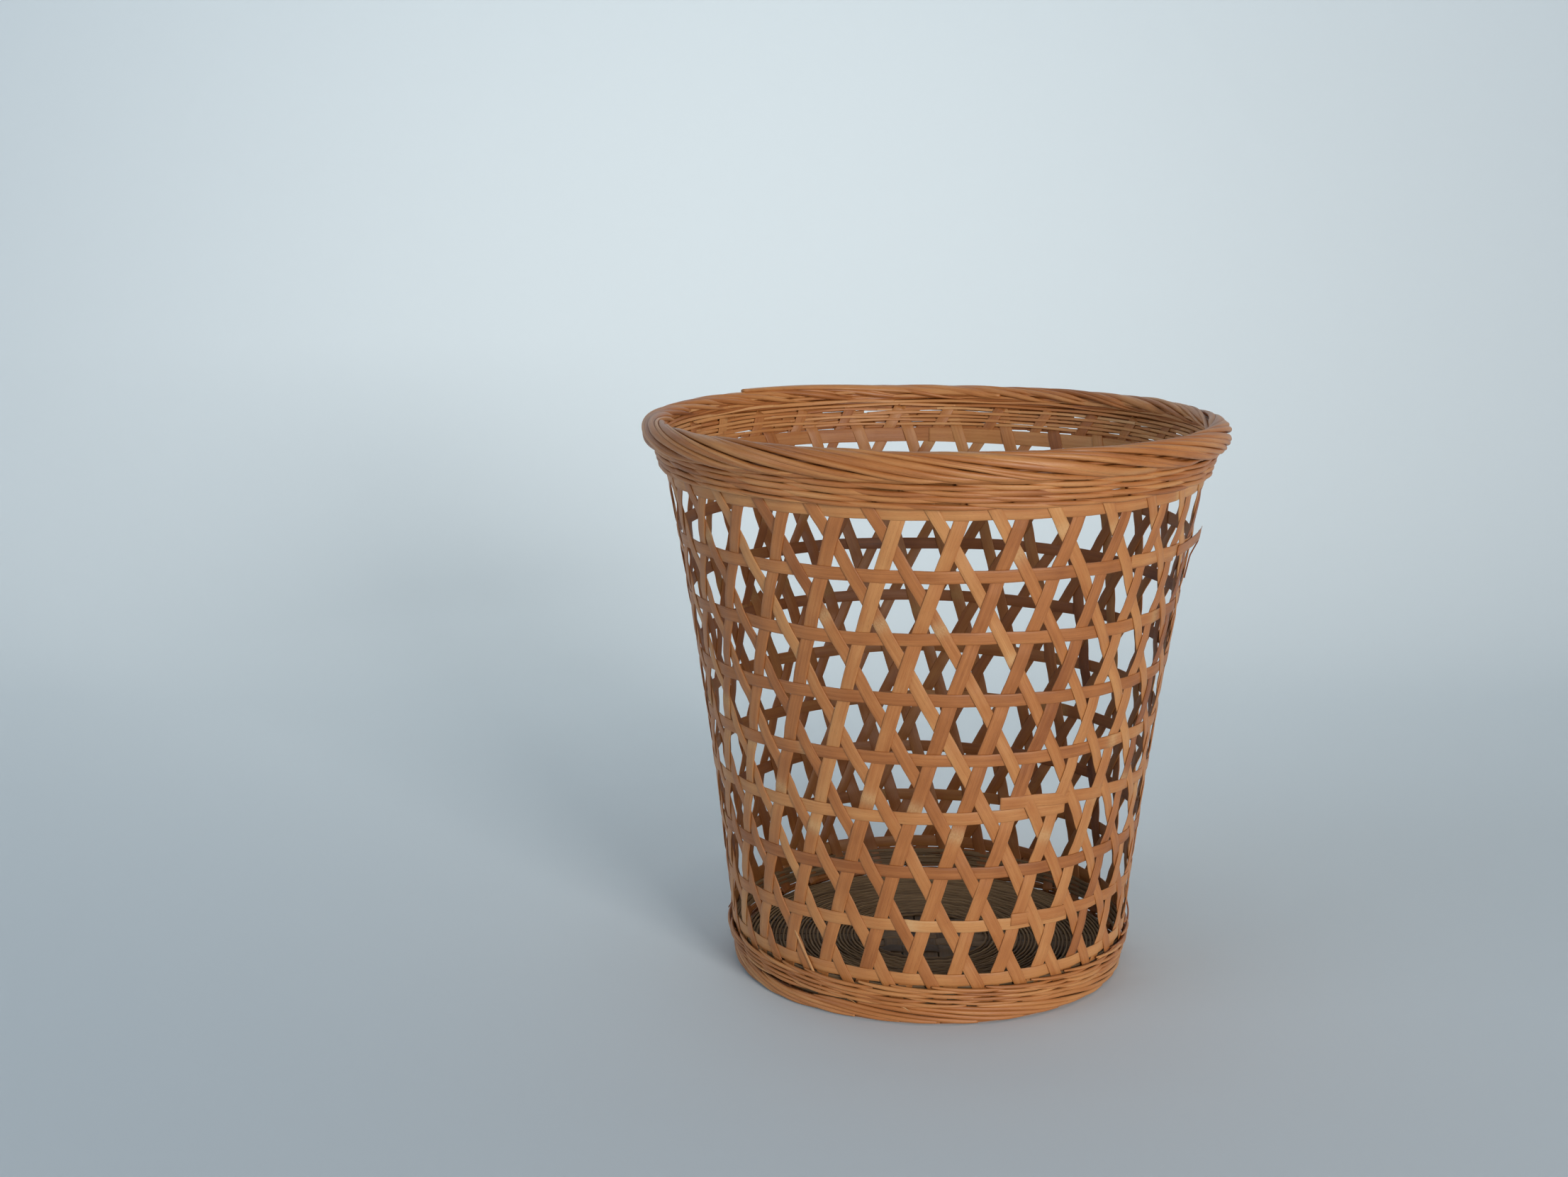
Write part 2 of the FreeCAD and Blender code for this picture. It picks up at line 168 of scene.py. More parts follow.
class Weave:
    """Splits that become one mesh. Each vertex carries where it is along and across its split."""

    def __init__(self, draw):
        self.draw = draw
        self.points, self.faces, self.grain, self.look = [], [], [], []
        self.count = 0

    def add(self, path, normals, width, thickness, section=FLAT, tone=0.5, knots=(), roll=0.0, ends=0.0):
        """Sweeps a section along a path. knots are distances where the cane had a joint,
        roll turns the section in degrees, and ends is the length over which both ends thin out."""
        distance = along(path)
        across, out = section_axes(path, normals, roll)
        width = np.broadcast_to(width, len(path)).astype(float)
        thickness = np.broadcast_to(thickness, len(path)).astype(float)
        tones = np.broadcast_to(tone, len(path)).astype(float).copy()
        rough = np.zeros(len(path))
        for knot in knots:
            near = distance - knot
            width = width * (1 + KNOT_WIDENS * hump(near, KNOT_WIDE_REACH))
            second = SECOND_RIDGE * hump(near - SECOND_RIDGE_AT, SECOND_RIDGE_REACH)
            thickness = thickness * (1 + RIDGE * hump(near, RIDGE_REACH) + second)
            rough = np.maximum(rough, hump(near - ROUGH_AT, ROUGH_REACH))
            step = self.draw.uniform(-KNOT_TONE_STEP, KNOT_TONE_STEP)
            tones += step * smooth(near / KNOT_TONE_REACH + 0.5)
        if ends:
            from_end = np.minimum(distance, distance[-1] - distance)
            thin = THIN_END + (1 - THIN_END) * smooth(from_end / ends)
            thickness = thickness * thin
            width = width * (WIDTH_SPARED + (1 - WIDTH_SPARED) * thin)
        side, face = section[:, 0][None], section[:, 1][None]
        sideways = (width[:, None] / 2 * side)[..., None] * across[:, None]
        outwards = (thickness[:, None] / 2 * face)[..., None] * out[:, None]
        shape = (len(path), len(section))
        seed = self.draw.uniform(0, 1)
        grain = np.stack([
            np.broadcast_to(distance[:, None] + SEED_SHIFT * seed, shape),
            width[:, None] / 2 * side,
            np.full(shape, seed),
        ], axis=-1)
        # Painted light: inner faces near the rim are lifted towards the outer faces' colour, where light
        # falls in over the rim.
        painted_light = PAINTED_LIGHT_INSIDE * smooth((path[:, 2] - DULL_AND_SHADED_UP_TO) / (PAINTED_LIGHT_FROM - DULL_AND_SHADED_UP_TO))
        look = np.stack([
            np.broadcast_to(tones[:, None], shape),
            np.maximum((face + 1) / 2, painted_light[:, None]),
            np.broadcast_to(rough[:, None], shape),
        ], axis=-1)
        self.add_faces(*shape)
        self.points.append((path[:, None] + sideways + outwards).reshape(-1, 3))
        self.grain.append(grain.reshape(-1, 3))
        self.look.append(look.reshape(-1, 3))

    def add_faces(self, rings, corners):
        """The skin between the rings of one sweep, and a face at either end."""
        first = self.count
        for ring in range(rings - 1):
            start = first + ring * corners
            for corner in range(corners):
                following = (corner + 1) % corners
                self.faces.append((
                    start + corner, start + following,
                    start + corners + following, start + corners + corner,
                ))
        last = first + (rings - 1) * corners
        self.faces.append(tuple(range(first + corners - 1, first - 1, -1)))
        self.faces.append(tuple(range(last, last + corners)))
        self.count += rings * corners

    def piece(self, name, material, slot, *replaced):
        """Makes the splits so far one object, in place of CAD nodes."""
        add_piece(
            name, np.concatenate(self.points), self.faces, material, slot, replaced,
            grain=np.concatenate(self.grain), look=np.concatenate(self.look),
        )


def add_piece(name, points, faces, material, slot, replaced, **attributes):
    """Makes a mesh object in metres, riding on the one body, in place of its CAD nodes."""
    mesh = bpy.data.meshes.new(name)
    mesh.from_pydata((points * MM).tolist(), [], faces)
    for label, values in attributes.items():
        attribute = mesh.attributes.new(label, "FLOAT_VECTOR", "POINT")
        attribute.data.foreach_set("vector", values.astype(np.float32).ravel())
    mesh.polygons.foreach_set("use_smooth", [True] * len(mesh.polygons))
    mesh.materials.append(material)
    mesh.update()
    piece = bpy.data.objects.new(name, mesh)
    bpy.context.scene.collection.objects.link(piece)
    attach(piece, "root")
    if replaced:
        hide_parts(*replaced)


# ------------------------------------------------------------------ materials


class Nodes:
    """Short names for making a material's nodes."""

    def __init__(self, name):
        self.material = bpy.data.materials.new(name)
        self.material.use_nodes = True
        self.tree = self.material.node_tree
        self.shader = self.tree.nodes["Principled BSDF"]

    def put(self, value, socket):
        if isinstance(value, bpy.types.NodeSocket):
            self.tree.links.new(value, socket)
        else:
            socket.default_value = value

    def maths(self, operation, first, second=0.0, third=0.0):
        node = self.tree.nodes.new("ShaderNodeMath")
        node.operation = operation
        for value, socket in zip((first, second, third), node.inputs):
            self.put(value, socket)
        return node.outputs[0]

    def parts(self, attribute):
        """The three numbers of a vertex attribute."""
        source = self.tree.nodes.new("ShaderNodeAttribute")
        source.attribute_name = attribute
        split = self.tree.nodes.new("ShaderNodeSeparateXYZ")
        self.tree.links.new(source.outputs["Vector"], split.inputs[0])
        return split.outputs

    def noise(self, x, y, z, detail=2.0, roughness=0.5):
        join = self.tree.nodes.new("ShaderNodeCombineXYZ")
        for value, socket in zip((x, y, z), join.inputs):
            self.put(value, socket)
        node = self.tree.nodes.new("ShaderNodeTexNoise")
        node.inputs["Scale"].default_value = 1.0
        node.inputs["Detail"].default_value = detail
        node.inputs["Roughness"].default_value = roughness
        self.tree.links.new(join.outputs[0], node.inputs["Vector"])
        return node.outputs["Fac"]

    def ramp(self, value, stops):
        node = self.tree.nodes.new("ShaderNodeValToRGB")
        band = node.color_ramp
        while len(band.elements) < len(stops):
            band.elements.new(0.5)
        for element, (position, colour) in zip(band.elements, stops):
            element.position = position
            element.color = (*colour, 1.0)
        self.put(value, node.inputs[0])
        return node.outputs[0]

    def mix(self, share, first, second, blend="MIX"):
        node = self.tree.nodes.new("ShaderNodeMix")
        node.data_type = "RGBA"
        node.blend_type = blend
        self.put(share, node.inputs[0])
        for value, socket in zip((first, second), (node.inputs[6], node.inputs[7])):
            self.put(value if isinstance(value, bpy.types.NodeSocket) else (*value, 1.0), socket)
        return node.outputs[2]


def linear(red, green, blue):
    """A colour given as it looks on a screen, 0 to 255, in the shader's linear numbers."""
    return tuple((value / 255) ** 2.2 for value in (red, green, blue))


SEED_SPREAD, FACE_SPREAD = 61.0, 1.5  # how different the grain of two splits and of two faces is
GRAIN_ALONG = 0.021  # scale of the long grain along a split, per millimetre
FLECK_LEVEL, FLECK_SHARE, FLECK_COLOUR = 0.66, 0.22, linear(70, 40, 22)
KNOT_SHARE, KNOT_RELIEF, KNOT_ROUGHNESS = 0.95, 1.6, 0.25
GRAIN_ROUGHNESS = 0.22  # how much the roughness varies with the fibres
# Tint that darkens the inner faces: partly the duller inner face of a split, partly painted shade inside the
# basket.
INNER_DULL_AND_SHADE_TINT = linear(156, 137, 78)
BUMP_DEPTH = 0.25


def bamboo(name, tones, knot_colour, streaks=0.3, patches=0.35, roughness=0.45, relief=0.5,
           inner=0.68):
    """Split cane: a tone for each split, long fibres, short dark flecks, pale rough joints.
    tones are the colours from the darkest to the palest, and inner is how much its inner face is darkened:
    partly a duller inner face, partly painted shade inside the basket."""
    nodes = Nodes(name)
    along_it, across_it, seed = nodes.parts("grain")
    tone, skin, knot = nodes.parts("look")
    layer = nodes.maths(
        "MULTIPLY_ADD", seed, SEED_SPREAD, nodes.maths("MULTIPLY", skin, FACE_SPREAD))

    def pattern(along_scale, across_scale, detail=2.0, roughness=0.5):
        """Noise with its own scale along and across the split."""
        x = nodes.maths("MULTIPLY", along_it, along_scale)
        y = nodes.maths("MULTIPLY", across_it, across_scale)
        return nodes.noise(x, y, layer, detail, roughness)

    fibre = pattern(GRAIN_ALONG, 3.1, 4.0, 0.65)
    band = pattern(GRAIN_ALONG, 0.7)
    patch = pattern(0.05, 0.1)
    fleck = pattern(0.33, 5.5, 1.0)
    grit = pattern(1.0, 1.6, 3.0)

    value = tone
    for noise, strength in ((fibre, streaks), (band, streaks), (patch, patches)):
        value = nodes.maths("MULTIPLY_ADD", nodes.maths("SUBTRACT", noise, 0.5), strength, value)
    stops = [(place / (len(tones) - 1), shade) for place, shade in enumerate(tones)]
    colour = nodes.ramp(value, stops)
    dark = nodes.maths("MULTIPLY", nodes.maths("GREATER_THAN", fleck, FLECK_LEVEL), FLECK_SHARE)
    colour = nodes.mix(dark, colour, FLECK_COLOUR)
    pale = nodes.maths("MULTIPLY", knot, nodes.maths("MULTIPLY", grit, KNOT_SHARE))
    colour = nodes.mix(pale, colour, knot_colour)
    # Inner faces are multiplied by the dull tint: partly the duller inner face of a split, partly painted
    # shade inside the basket.
    inside = nodes.maths("MULTIPLY", nodes.maths("SUBTRACT", 1.0, skin), inner)
    colour = nodes.mix(inside, colour, INNER_DULL_AND_SHADE_TINT, "MULTIPLY")
    nodes.put(colour, nodes.shader.inputs["Base Color"])

    gloss = nodes.maths("MULTIPLY_ADD", fibre, GRAIN_ROUGHNESS, roughness - GRAIN_ROUGHNESS / 2)
    gloss = nodes.maths("MULTIPLY_ADD", knot, KNOT_ROUGHNESS, gloss)
    nodes.put(gloss, nodes.shader.inputs["Roughness"])
    height = nodes.maths("MULTIPLY_ADD", nodes.maths("MULTIPLY", grit, knot), KNOT_RELIEF, fibre)
    bump = nodes.tree.nodes.new("ShaderNodeBump")
    bump.inputs["Strength"].default_value = relief
    bump.inputs["Distance"].default_value = BUMP_DEPTH * MM
    nodes.put(height, bump.inputs["Height"])
    nodes.put(bump.outputs[0], nodes.shader.inputs["Normal"])
    return nodes.material


WARM = [
    linear(94, 50, 20), linear(148, 85, 42), linear(186, 117, 65),
    linear(210, 147, 90), linear(224, 173, 122),
]
DULL = [
    linear(34, 24, 15), linear(64, 47, 31), linear(92, 70, 46),
    linear(118, 93, 64), linear(140, 113, 80),
]
KNOT = linear(214, 172, 122)
DULL_KNOT = linear(130, 112, 88)

wall_bamboo = bamboo("bamboo_wall_splits", WARM, KNOT)
hoop_bamboo = bamboo("bamboo_hoop_splits", WARM, KNOT)
band_bamboo = bamboo("bamboo_binding_splits", WARM, KNOT, streaks=0.34)
rim_bamboo = bamboo("bamboo_border_splits", WARM, KNOT, roughness=0.42, relief=0.35)
base_bamboo = bamboo("bamboo_base_splits", DULL, DULL_KNOT, streaks=0.4, roughness=0.6, inner=0.0)

# ------------------------------------------------------------------ strips and hoops

FIRST_STRIP = 2.9  # angle where the first right strip passes the lowest hoop
LEAN = 4.35  # degrees that a right strip moves from hoop to hoop
STRIPS = 30
PITCH = 360 / STRIPS
FIRST_LEFT = FIRST_STRIP + PITCH / 2
RIGHT_WIDTH, LEFT_WIDTH = 6.5, 5.6
WALL_SPLIT = 0.58  # thickness of the wall's splits, a little under a layer so that they don't touch
LAYER = 0.61  # one split and the air beside it
HOOP_WAVE = 0.27  # how far a hoop bends out over right strips and in under left ones
STRIP_ROWS = (-0.62, 8.5)  # where a strip starts and ends, in rows of hoops
HOOP_REACH, CROSSING_REACH = 0.08, 0.32  # a strip moves from one level to the other between these
TOP_HOOP_ROW = len(HOOP_HEIGHTS) - 1
BAND_FROM, BAND_BLEND = 0.07, 0.15  # where strips go over to their levels in the band, in rows
STRIPS_IN_A_PIECE = 3
DARK_STRIPS = {28: -0.14, 26: -0.08, 3: -0.06, 9: -0.05}  # right strips with a darker tone
STRIP_TONE = 0.53
KNOT_ROWS = (0.6, 7.6)  # where the joints of neighbouring strips wander up and down
LAST_KNOT_ROW = 8.2  # a joint above this row would lie in the rim, and is left out
STRIPS_OF_A_CANE = 5  # strips cut from one cane, whose joints lie near each other


def strip_offset(row, at_hoop, at_crossing):
    """How far a strip lies from the wall's middle: one level on the hoops and below them, another
    where strips cross, and farther still in the band under the rim, whose inner rows run between
    the strips of the two leans."""
    row = np.maximum(row, 0)
    from_hoop = np.abs(row - np.round(row))
    share = smooth((CROSSING_REACH - from_hoop) / (CROSSING_REACH - HOOP_REACH))
    in_band = smooth((row - TOP_HOOP_ROW - BAND_FROM) / BAND_BLEND)
    share = np.where(row > TOP_HOOP_ROW, 1 - in_band, share)
    return at_crossing * (1 + in_band) + (at_hoop - at_crossing) * share


def add_strip(weave, start, turn, width, at_hoop, at_crossing, tone, knot_row):
    """One strip from the foot to the rim. turn is how many degrees it moves from hoop to hoop."""
    draw = weave.draw
    row = np.linspace(*STRIP_ROWS, 210)
    height = row_height(row)
    angle = start + turn * row + 0.2 * waver(draw, height, 110)
    offset = strip_offset(row, at_hoop, at_crossing) + 0.04 * waver(draw, height, 60)
    path, normals = on_wall(angle, height, offset)
    distance = along(path)
    width = width * (1 + 0.035 * waver(draw, distance, 120)) + draw.normal(0, 0.22)
    thickness = WALL_SPLIT * (1 + 0.04 * waver(draw, distance, 60))
    knot = np.interp(knot_row, row, distance)
    knots = [knot] if 0 < knot_row < LAST_KNOT_ROW else []
    roll = 1.2 * waver(draw, distance, 70)
    tone = tone + 0.05 * waver(draw, distance, 150)
    weave.add(path, normals, width, thickness, tone=tone, knots=knots, roll=roll)


def make_strips():
    """Left strips lie over the hoops, hoops over right strips, and right strips over left."""
    kinds = (  # the turn from hoop to hoop, the start, width, two levels, and the first joint's row
        ("right", LEAN, FIRST_STRIP, RIGHT_WIDTH, HOOP_WAVE - LAYER, LAYER / 2, 2.1),
        ("left", LEAN - PITCH, FIRST_LEFT, LEFT_WIDTH, LAYER - HOOP_WAVE, -LAYER / 2, 7.2),
    )
    for kind, turn, first, width, at_hoop, at_crossing, knot_row in kinds:
        draw = draws(f"{kind} strips")
        weave = Weave(draw)
        group = 1
        for number in range(STRIPS):
            tone = STRIP_TONE + draw.normal(0, 0.06)
            if kind == "right":
                tone += DARK_STRIPS.get(number, 0.0)
            if number % STRIPS_OF_A_CANE == 0:
                knot_row = float(np.clip(knot_row + draw.uniform(-1.6, 1.6), *KNOT_ROWS))
            knot = knot_row + draw.normal(0, 0.25)
            start = first + number * PITCH
            add_strip(weave, start, turn, width, at_hoop, at_crossing, tone, knot)
            if number % STRIPS_IN_A_PIECE == STRIPS_IN_A_PIECE - 1:
                node = f"{kind}_leaning_strips_{group}"
                weave.piece(f"{kind}_leaning_splits_{group}", wall_bamboo, "wall_splits", node)
                weave = Weave(draw)
                group += 1


# For each hoop from the lowest: the angle of its joint, how much higher it starts than it ends,
# and how far up its first and its last end are bent.
HOOP_JOINTS = (
    (205, 0.4, 0, 0), (27, 2.2, 0, 0), (150, 0.3, 0, 0), (22, 5.6, 0, 0), (262, 0.5, 0, 0),
    (235, 0.8, 6.5, 0), (212, 0.6, 0, 0), (50, 0.9, 0, -1.6), (168, 0.4, 0, 0),
)
JOINT_OVERLAP = 9  # degrees that each end of a hoop runs past its joint
STEP_FADE = 70  # degrees over which a hoop comes back to its height after the joint
LAP_BLEND = 6  # degrees over which a lapped end leaves the hoop's middle
LAP_OFFSET = 0.27  # how far outside and inside the hoop's middle its two ends lie
LAP_THINNING = 0.25
WIDE_HOOP_DROP = 0.4
HOOP_TONE = 0.53


def make_hoops():
    """Each hoop is one split that runs round the wall and is lapped over its own end."""
    for number, (joint, step, first_kick, last_kick) in enumerate(HOOP_JOINTS):
        draw = draws(f"hoop {number}")
        name = HOOP_NAMES[number]
        weave = Weave(draw)
        turned = np.linspace(-JOINT_OVERLAP, 360 + JOINT_OVERLAP, 760)
        angle = joint + turned
        from_end = np.minimum(turned, 360 - turned)
        start_side = turned < 180
        arc = np.radians(turned) * wall_radius(HOOP_HEIGHTS[number])
        height = HOOP_HEIGHTS[number] + 0.4 * waver(draw, arc, 170)
        if name == "wide_hoop":
            height -= WIDE_HOOP_DROP
        height += np.where(start_side, step * np.exp(-np.maximum(turned, 0) / STEP_FADE), 0.0)
        height += first_kick * np.clip(-turned / JOINT_OVERLAP, 0, 1) ** 2
        height += last_kick * smooth((turned - 360) / JOINT_OVERLAP)
        lapped = smooth((JOINT_OVERLAP + 2 - from_end) / LAP_BLEND)
        offset = np.where(start_side, LAP_OFFSET, -LAP_OFFSET) * lapped + 0.04 * waver(draw, arc, 35)
        over_right = angle - FIRST_STRIP - LEAN * number
        offset += HOOP_WAVE * np.cos(np.radians(over_right) * STRIPS)
        path, normals = on_wall(angle, height, offset)
        thickness = WALL_SPLIT * (1 - LAP_THINNING * lapped)
        width = HOOP_WIDTHS[number] * (1 + 0.025 * waver(draw, arc, 130))
        knots = [draw.uniform(0, arc[-1]), draw.uniform(0, arc[-1])]
        tone = HOOP_TONE + draw.normal(0, 0.04) + 0.06 * waver(draw, arc, 260)
        weave.add(path, normals, width, thickness, tone=tone, knots=knots, roll=waver(draw, arc, 60))
        if name == "hoop_2":
            add_broken_hoop_end(weave)
        weave.piece(f"{name}_split", hoop_bamboo, "hoop_splits", name)


def bent_path(stations, count=60):
    """A smooth path through (angle, height, offset) stations beside the wall."""
    places = np.linspace(0, len(stations) - 1, count)
    columns = np.array(stations, dtype=float).T
    steps = np.arange(len(stations))
    angle, height, offset = (np.interp(places, steps, column) for column in columns)
    for _ in range(count // 8):
        for values in (angle, height, offset):
            values[1:-1] = (values[:-2] + 2 * values[1:-1] + values[2:]) / 4
    return on_wall(angle, height, offset)


def add_broken_hoop_end(weave):
    """A second split on the hoop has come out at the right-hand side and sticks out, with a fibre
    that stands up from its end and a thin one that hangs down. Their stations are an angle, how
    far above the hoop's middle they lie, and how far out."""
    level = HOOP_HEIGHTS[HOOP_NAMES.index("hoop_2")]
    end = ((60, 0.2, 0.7), (70, 0.2, 1.0), (76, 0.2, 2.2), (80, 0.3, 3.4), (83, 0.4, 4.6))
    fibre = ((77, 2.2, 2.4), (80, 2.5, 3.4), (82, 3.2, 4.4), (83, 4.2, 4.9))
    loop = ((82, -0.5, 4.0), (83, -3.0, 4.4), (81, -6.0, 2.8), (79, -9.0, 1.4), (78, -20.0, 0.9))
    parts = (
        (end, 5.2, 0.6, {"tone": 0.45}),
        (fibre, 1.4, 0.5, {"tone": 0.4, "ends": 8}),
        (loop, 1.2, 0.7, {"tone": 0.25, "section": OVAL}),
    )
    for stations, width, thickness, look in parts:
        path, normals = bent_path([(angle, level + rise, offset) for angle, rise, offset in stations])
        weave.add(path, normals, width, thickness, **look)


# ------------------------------------------------------------------ bound rows

TWINE_REACH = 1.85  # how far each split of an outer row runs, in steps from one to the next
TWINE_SPLITS = 30  # splits in an outer row, one for each pair of strips
TWINE_BULGE = 1.5  # how far the middle of a split stands out over its ends
TWINE_CLEAR = 0.75  # how far its back would lie off the wall's middle without the bulge
TWINE_SCATTER = 0.14
ROW_TONE = 0.55
INNER_SPLITS = 5  # splits that follow one another in an inner row
UNDER_CORE = 262.5  # above this height the inner rows lean in, round the rim's core
INNER_FRONT = 0.25  # how much wider the inner splits are at the front, and narrower at the back
INNER_WEAVE = 0.65  # half of how far an inner row goes in to pass a left strip on the inside
INNER_THICKNESS = 0.5
BAND_RISE = 2.1  # how much higher the band under the rim starts at the back than at the front
BAND_SPREAD = 0.085  # and how much wider its rows are spread there


def left_strip_angle(height):
    """Angle where the first left strip passes a height."""
    rows = np.linspace(*STRIP_ROWS, 400)
    return FIRST_LEFT + (LEAN - PITCH) * np.interp(height, row_height(rows), rows)


def band_rise(angle, height):
    """How much higher a row of the upper band runs at an angle than at the front."""
    if height < LIP_START:
        return 0.0
    return (BAND_RISE + BAND_SPREAD * (height - LIP_START)) * (1 - np.cos(np.radians(angle))) / 2


def add_twined_row(weave, height, width, thickness, slide):
    """Splits that come out one after another from under the last, run over the strips and slip
    down under the next. slide is how far each comes down on either side of the row's middle."""
    draw = weave.draw
    for number in range(TWINE_SPLITS):
        first = number * 360 / TWINE_SPLITS + draw.normal(0, 1.3)
        reach = 360 / TWINE_SPLITS * TWINE_REACH * draw.uniform(0.88, 1.12)
        share = np.linspace(0, 1, 44)
        angle = first + reach * share
        arc = np.radians(angle) * wall_radius(height)
        level = height + band_rise(angle, height) + slide * (1 - 2 * share) + 0.1 * waver(draw, arc, 70)
        level += TWINE_SCATTER * draw.normal()
        bulge = np.sin(np.pi * share) ** 0.8
        offset = thickness / 2 + TWINE_CLEAR + TWINE_BULGE * (bulge - 0.4)
        offset += 0.08 * waver(draw, arc, 40)
        path, normals = on_wall(angle, level, offset)
        wide = width * (1 + 0.09 * draw.normal()) * (0.5 + 0.5 * bulge)
        thick = thickness * (0.6 + 0.4 * bulge)
        tone = ROW_TONE + draw.normal(0, 0.075) + 0.05 * waver(draw, arc, 60)
        weave.add(path, normals, wide, thick, section=OVAL, tone=tone, roll=9 * draw.normal())


def add_inner_row(weave, height, width, side, tone):
    """Thin splits, each lapped over the last, outside the right strips' inner level and in and
    out of the left ones. side is 1 or -1 and says which of those it passes on the inside."""
    draw = weave.draw
    start = draw.uniform(0, 360)
    for part in range(INNER_SPLITS):
        lap = draw.uniform(9, 15)
        first = start + part * 360 / INNER_SPLITS + draw.uniform(-8, 8)
        angle = np.linspace(first - lap, first + 360 / INNER_SPLITS + lap, 170)
        arc = np.radians(angle) * wall_radius(height)
        front = np.cos(np.radians(angle))
        level = height + band_rise(angle, height) + (0.2 - 0.1 * front) * waver(draw, arc, 90)
        inside = 1 + side * np.cos(np.radians(angle - left_strip_angle(height)) * STRIPS / 2)
        end = smooth(np.minimum(angle - angle[0], angle[-1] - angle) / lap)
        offset = 0.06 * waver(draw, arc, 40) - INNER_WEAVE * inside - 0.3 * (1 - end)
        offset -= 0.6 * np.maximum(0.0, level - UNDER_CORE)
        path, normals = on_wall(angle, level, offset)
        wide = width * (1.12 + INNER_FRONT * front + 0.12 * waver(draw, arc, 45))
        shade = tone + draw.normal(0, 0.08) + 0.06 * waver(draw, arc, 140)
        roll = 4 * waver(draw, arc, 60)
        weave.add(path, -normals, wide, INNER_THICKNESS, tone=shade, roll=roll, ends=14)


def make_outer_rows(names, levels, width, thickness, slide):
    """The rows outside the strips. Those that are more than the nodes go into the last one."""
    for number, name in enumerate(names):
        weave = Weave(draws(name))
        for level in levels[number:] if name == names[-1] else levels[number:number + 1]:
            add_twined_row(weave, level, width, thickness, slide)
        weave.piece(f"{name}_splits", band_bamboo, "binding_splits", name)


def make_inner_rows(zone, levels, width, tone, material):
    weave = Weave(draws(f"{zone} inner"))
    for number, level in enumerate(levels):
        add_inner_row(weave, level, width, 1 if number % 2 else -1, tone)
    weave.piece(f"{zone}_inner_splits", material, "binding_splits", f"{zone}_inner_rows")


def row_level(name):
    """Height of the middle of a row's node."""
    low, high = node_box(name)
    return (low[2] + high[2]) / 2


UPPER_ROWS, UPPER_ROW_PITCH, UPPER_RAISED = 5, 2.95, 0.2
UPPER_INNER_ROWS, UPPER_INNER_PITCH, UPPER_INNER_RAISED = 9, 1.78, 0.4
LOWER_INNER_ROWS = 7


def make_rows():
    """The band under the rim has five rows outside, the highest half under the rim. Inside,
    both bands show thinner splits, nearly two for each row."""
    upper = [f"upper_row_{number}" for number in range(1, 5)]
    start = row_level(upper[0]) + UPPER_RAISED
    levels = [start + UPPER_ROW_PITCH * number for number in range(UPPER_ROWS)]
    make_outer_rows(upper, levels, width=2.7, thickness=2.0, slide=0.95)
    start += UPPER_INNER_RAISED
    levels = [start + UPPER_INNER_PITCH * number for number in range(UPPER_INNER_ROWS)]
    # The inner rows get a paler tone than the strips: painted light on the back of the band, where light
    # falls in over the rim.
    make_inner_rows("upper", levels, width=1.6, tone=0.68, material=band_bamboo)
    lower = [f"lower_row_{number}" for number in range(1, 5)]
    levels = [row_level(name) for name in lower]
    make_outer_rows(lower, levels, width=2.0, thickness=1.7, slide=1.2)
    levels = np.linspace(levels[0], levels[-1], LOWER_INNER_ROWS).tolist()
    # The lower inner rows take the base's dull colours: partly a duller inside, partly painted shade where
    # the front wall shades them.
    make_inner_rows("lower", levels, width=1.5, tone=0.7, material=base_bamboo)


# ------------------------------------------------------------------ rim

RIM_LOW, RIM_HIGH = node_box("rim_core")
RIM_HEIGHT = (RIM_LOW[2] + RIM_HIGH[2]) / 2
CORE_TUBE = (RIM_HIGH[2] - RIM_LOW[2]) / 2
RIM_RADIUS = RIM_HIGH[0] - CORE_TUBE
CORE_MEMBERS, CORE_TWISTS, CORE_TONE = 6, 2, 0.4
CORE_SPREAD = 3.15  # radius of the core, in radii of one of its splits
RIM_BUNDLES = 30
PROUD_BUNDLE = 14  # the bundle after which the cut strand lies
GROUP_SIZE = 6  # bundles, or foot strands, that make one object
BUNDLE_ORBIT = 5.0  # how far from the core's middle a bundle lies
BUNDLE_DROP = 6.0  # how far under the core's middle a bundle's path would reach
BUNDLE_FLATTENED = 0.38  # how much of the roundness the path loses on its way down
BUNDLE_REACH = 62  # degrees round the basket that a bundle takes to cross the rim
BUNDLE_FROM, BUNDLE_TO = 194, -74  # the turn of a bundle round the core, degrees above outwards
BUNDLE_LANES = (  # how far to the side each strand of a bundle lies, and its width
    ((0.0, 4.6),),
    ((-1.25, 2.8), (1.3, 2.7)),
    ((-0.8, 3.5), (1.85, 2.0)),
    ((1.0, 3.3), (-1.6, 2.2)),
)
BUNDLE_START = 0.2  # share of a bundle over which it comes out from under its neighbours
BUNDLE_TUCK, BUNDLE_SLIM = 2.2, 0.85  # how far in it starts, and how much slimmer
STRAND_THICKNESS, STRAND_TONE = 2.7, 0.56
TAIL_POINTS = 20
TAIL_REACH = 11  # degrees that a bundle's tail runs on under the rim
TAIL_DROP, TAIL_TUCK = 0.5, 2.6  # how far the tail goes down and in


def round_core(angle, turn, orbit):
    """Points round the rim's core, and their normals. turn 0 is outwards and 90 is up.
    Below the core's middle the path drops down the basket's outside."""
    out, up = np.cos(np.radians(turn)), np.sin(np.radians(turn))
    low = np.maximum(0.0, -up)
    full = np.sign(out) * np.abs(out) ** (1 - BUNDLE_FLATTENED * np.minimum(1.0, low * 1.5))
    height = RIM_HEIGHT + up * (orbit + (BUNDLE_DROP - BUNDLE_ORBIT) * low)
    normals = around(angle, out, up * (1 - 0.45 * low))
    return around(angle, RIM_RADIUS + orbit * full, height), normals


